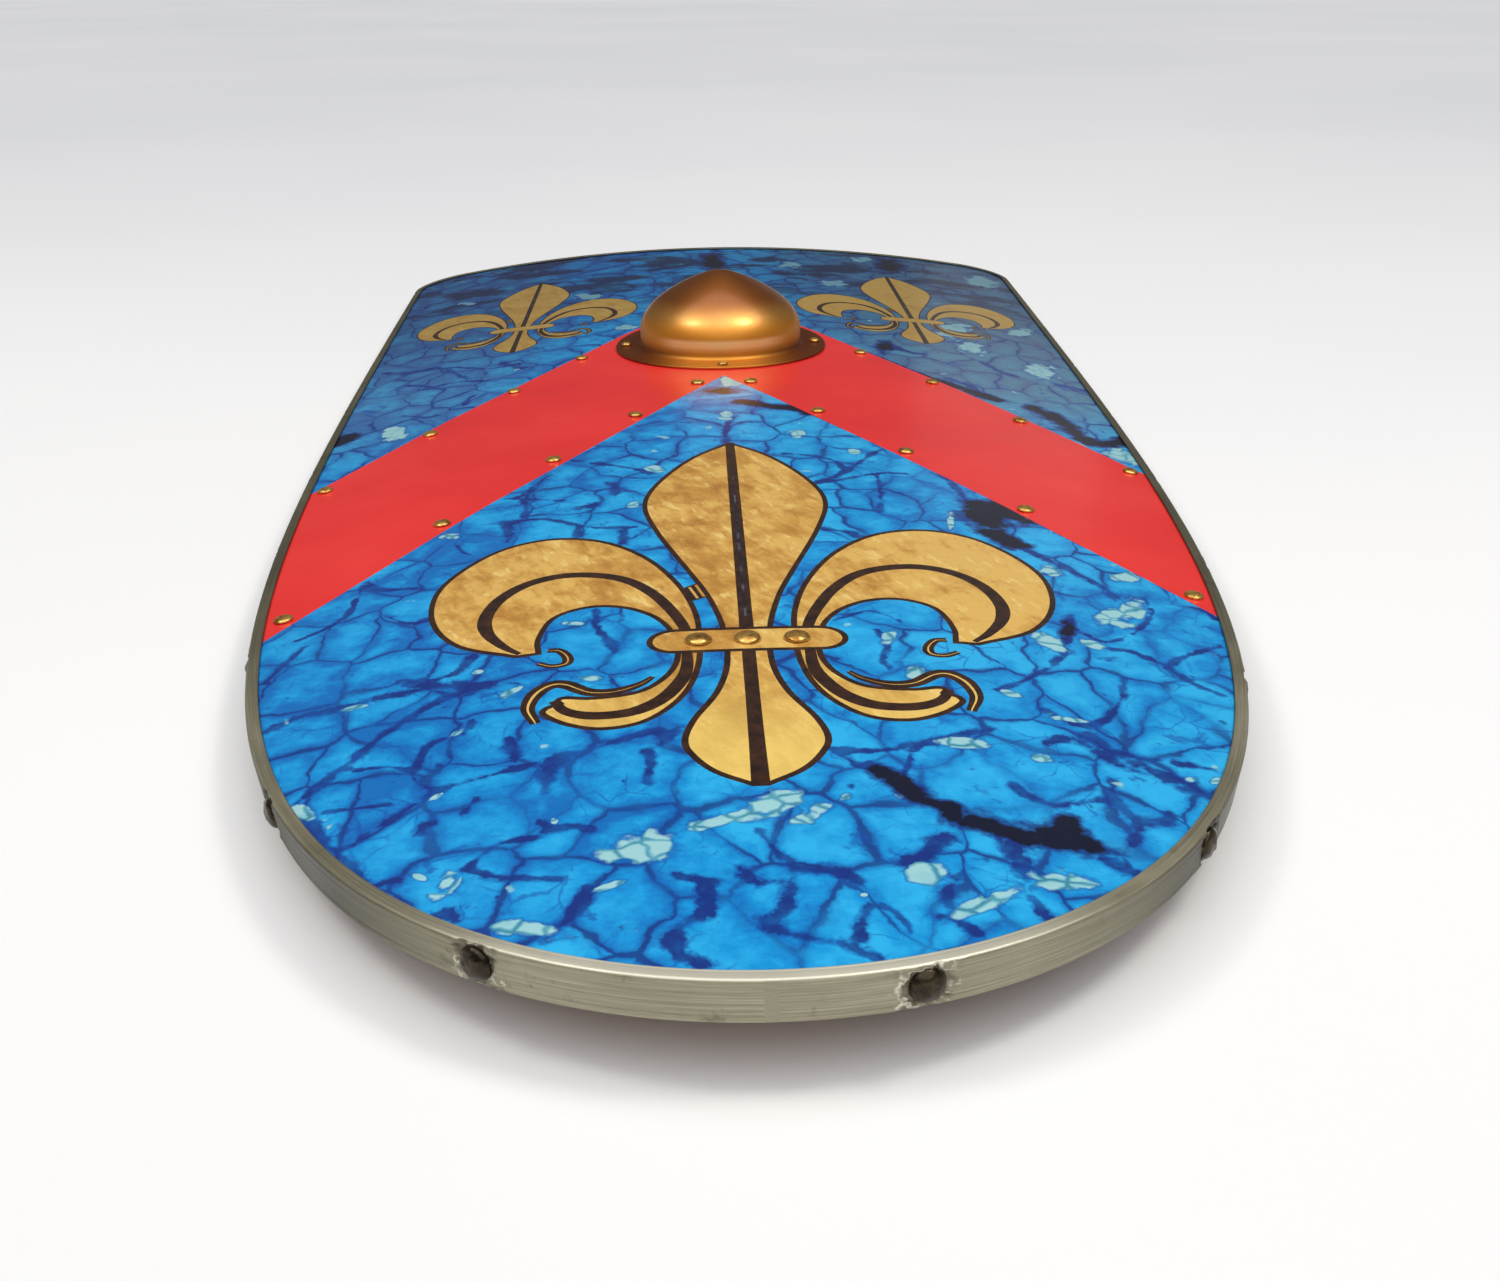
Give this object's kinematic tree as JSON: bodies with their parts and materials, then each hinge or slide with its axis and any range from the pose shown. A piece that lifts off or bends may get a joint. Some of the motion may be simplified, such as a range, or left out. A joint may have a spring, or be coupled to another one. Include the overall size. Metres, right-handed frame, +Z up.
{
  "type": "long bowed shield",
  "caption": "Long heraldic shield with a straight head and a round foot, bowed across its width, with a folded steel rim, a hollow domed boss, brass tacks and a wooden grip behind the boss",
  "frame": {"origin": "on the surface that the shield lies on, under the middle of its length and width", "axes": "+Y runs from the round foot to the straight head, +Z points up out of the face, +X is to the right when the face is seen with its head up"},
  "size_m": [0.5457, 1.1386, 0.0908],
  "materials": {
    "board_wood": "printed face in blue, red and gold under a clear gloss coat; brown lacquered back",
    "grip_wood": "oiled",
    "strip_steel": "brushed along the strip, slightly yellowed",
    "nail_steel": "blackened, glossy",
    "boss_copper": "satin copper-gold, darker at the flange",
    "tack_brass": "worn gloss"
  },
  "bodies": {
    "root": {"bar_rivet_1": "tack_brass", "bar_rivet_2": "tack_brass", "bar_rivet_3": "tack_brass", "board": "board_wood", "boss": "boss_copper", "boss_rivet_1": "boss_copper", "boss_rivet_2": "boss_copper", "boss_rivet_3": "boss_copper", "boss_rivet_4": "boss_copper", "grip": "grip_wood", "grip_screw_1": "nail_steel", "grip_screw_2": "nail_steel", "rim_nail_01": "nail_steel", "rim_nail_02": "nail_steel", "rim_nail_03": "nail_steel", "rim_nail_04": "nail_steel", "rim_nail_05": "nail_steel", "rim_nail_06": "nail_steel", "rim_nail_07": "nail_steel", "rim_nail_08": "nail_steel", "rim_nail_09": "nail_steel", "rim_nail_10": "nail_steel", "rim_nail_11": "nail_steel", "rim_nail_12": "nail_steel", "rim_nail_13": "nail_steel", "rim_nail_14": "nail_steel", "rim_nail_15": "nail_steel", "rim_nail_16": "nail_steel", "rim_nail_17": "nail_steel", "rim_nail_18": "nail_steel", "rim_nail_19": "nail_steel", "rim_nail_20": "nail_steel", "rim_nail_21": "nail_steel", "rim_nail_22": "nail_steel", "rim_strip": "strip_steel", "tack_lower_left_1": "tack_brass", "tack_lower_left_2": "tack_brass", "tack_lower_left_3": "tack_brass", "tack_lower_left_4": "tack_brass", "tack_lower_left_5": "tack_brass", "tack_lower_right_1": "tack_brass", "tack_lower_right_2": "tack_brass", "tack_lower_right_3": "tack_brass", "tack_lower_right_4": "tack_brass", "tack_lower_right_5": "tack_brass", "tack_upper_left_1": "tack_brass", "tack_upper_left_2": "tack_brass", "tack_upper_left_3": "tack_brass", "tack_upper_left_4": "tack_brass", "tack_upper_left_5": "tack_brass", "tack_upper_right_1": "tack_brass", "tack_upper_right_2": "tack_brass", "tack_upper_right_3": "tack_brass", "tack_upper_right_4": "tack_brass", "tack_upper_right_5": "tack_brass"}
  },
  "joints": []
}
